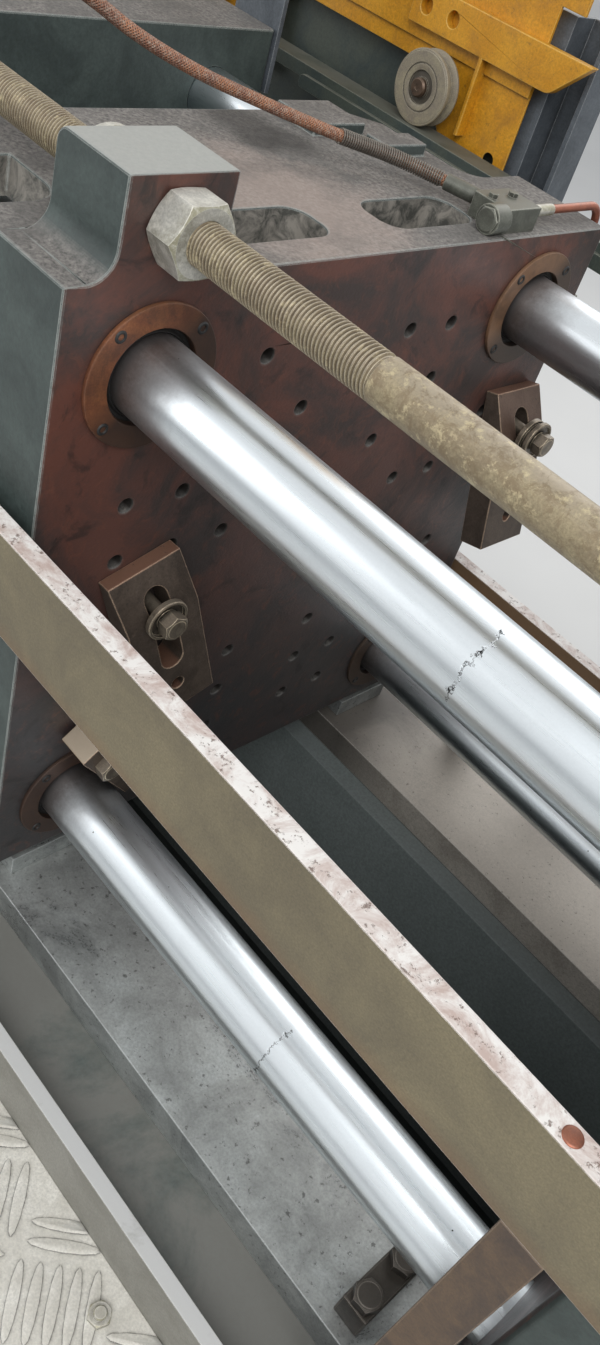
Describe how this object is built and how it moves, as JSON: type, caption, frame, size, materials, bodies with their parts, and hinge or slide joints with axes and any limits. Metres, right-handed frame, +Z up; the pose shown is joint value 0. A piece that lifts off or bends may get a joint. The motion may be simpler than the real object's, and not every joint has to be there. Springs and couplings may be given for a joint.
{
  "type": "injection molding machine clamping unit",
  "caption": "Clamping unit of an injection molding machine: platens on tie bars, clamp cylinder, mould clamps, safety rod, lubrication line, rear guard gate and bed with part chute.",
  "frame": {"origin": "on the floor under the middle of the overall length and width", "axes": "+X from the moving platen to the fixed platen, +Y to the rear (gate) side, +Z up"},
  "size_m": [2.53, 1.24, 2],
  "materials": {
    "bed_paint": "worn semi-gloss paint",
    "platen_paint": "dusty slate grey-green paint",
    "cylinder_paint": "worn paint",
    "bare_steel": "worn bare steel",
    "clamp_steel": "rusty steel",
    "chrome_bar": "hard chrome, pitted",
    "zinc_steel": "dull zinc plate",
    "khaki_paint": "chipped khaki paint",
    "grey_trim": "worn grey paint",
    "tread_steel": "checker plate",
    "rail_paint": "dark grey-green paint",
    "yellow_paint": "grimy yellow paint",
    "glazing": "clear guard glazing",
    "roller_plastic": "dirty cream nylon",
    "bronze": "dull bronze",
    "hose_rubber": "braided cover",
    "copper": "dull copper"
  },
  "bodies": {
    "frame": {"bed_front": "bed_paint", "bed_rear": "bed_paint", "bed_clamp_end": "bed_paint", "bed_fixed_end": "bed_paint", "front_way_plate": "bare_steel", "rear_way_plate": "bare_steel", "way_stops": "bare_steel", "lip_bars": "grey_trim", "tread_plate": "tread_steel", "chute_front_sheet": "bed_paint", "chute_rear_sheet": "bed_paint", "levelling_feet": "bare_steel", "fixed_platen": "platen_paint", "fixed_rod_boss": "platen_paint", "rear_platen": "platen_paint", "ram_gland": "cylinder_paint", "clamp_cylinder": "cylinder_paint", "cylinder_flange": "cylinder_paint", "cylinder_end_cap": "cylinder_paint", "tie_bar_upper_front": "chrome_bar", "tie_bar_upper_rear": "chrome_bar", "tie_bar_lower_front": "chrome_bar", "tie_bar_lower_rear": "chrome_bar", "tie_nuts": "bare_steel", "front_guard_beam": "khaki_paint", "front_beam_posts": "khaki_paint", "rear_guard_beam": "khaki_paint", "rear_beam_posts": "khaki_paint", "gate_rail": "rail_paint", "rail_strip": "rail_paint", "rail_posts": "bare_steel", "rear_uprights": "bare_steel", "rear_sheet": "bed_paint", "slotted_bracket": "bare_steel"},
    "moving_platen": {"moving_platen": "platen_paint", "moving_platen_web": "platen_paint", "moving_platen_back": "platen_paint", "moving_rod_boss": "platen_paint", "tie_bar_bushings": "bronze", "guide_shoes": "bare_steel", "ram": "chrome_bar", "ram_flange": "bare_steel", "safety_rod": "bare_steel", "safety_rod_nuts": "zinc_steel", "mould_clamp_front": "clamp_steel", "mould_clamp_rear": "clamp_steel", "heel_block": "clamp_steel", "clamp_bolts": "zinc_steel", "lubrication_block": "clamp_steel", "copper_tube": "copper", "tube_fitting": "clamp_steel", "hose": "hose_rubber", "hose_nipple": "zinc_steel"},
    "rear_gate": {"gate_panel": "yellow_paint", "gate_window": "glazing", "gate_bar": "yellow_paint", "gate_axles": "bare_steel"},
    "gate_roller_leading": {"gate_roller_leading": "roller_plastic"},
    "gate_roller_trailing": {"gate_roller_trailing": "roller_plastic"}
  },
  "joints": [
    {"name": "clamp_slide", "type": "slide", "parent": "frame", "child": "moving_platen", "axis": [1, 0, 0], "range_m": [-0.1, 0.4]},
    {"name": "gate_slide", "type": "slide", "parent": "frame", "child": "rear_gate", "axis": [1, 0, 0], "range_m": [0, 0.75]},
    {"name": "leading_roller_spin", "type": "hinge", "parent": "rear_gate", "child": "gate_roller_leading", "pos_m": [-0.193, 0.511, 1.5223], "axis": [0, 1, 0], "range_deg": [0, 860]},
    {"name": "trailing_roller_spin", "type": "hinge", "parent": "rear_gate", "child": "gate_roller_trailing", "pos_m": [-0.705, 0.511, 1.5223], "axis": [0, 1, 0], "range_deg": [0, 860]}
  ],
  "couplings": [
    {"joint": "leading_roller_spin", "follows": "gate_slide", "rad_per_m": 20},
    {"joint": "trailing_roller_spin", "follows": "gate_slide", "rad_per_m": 20}
  ]
}
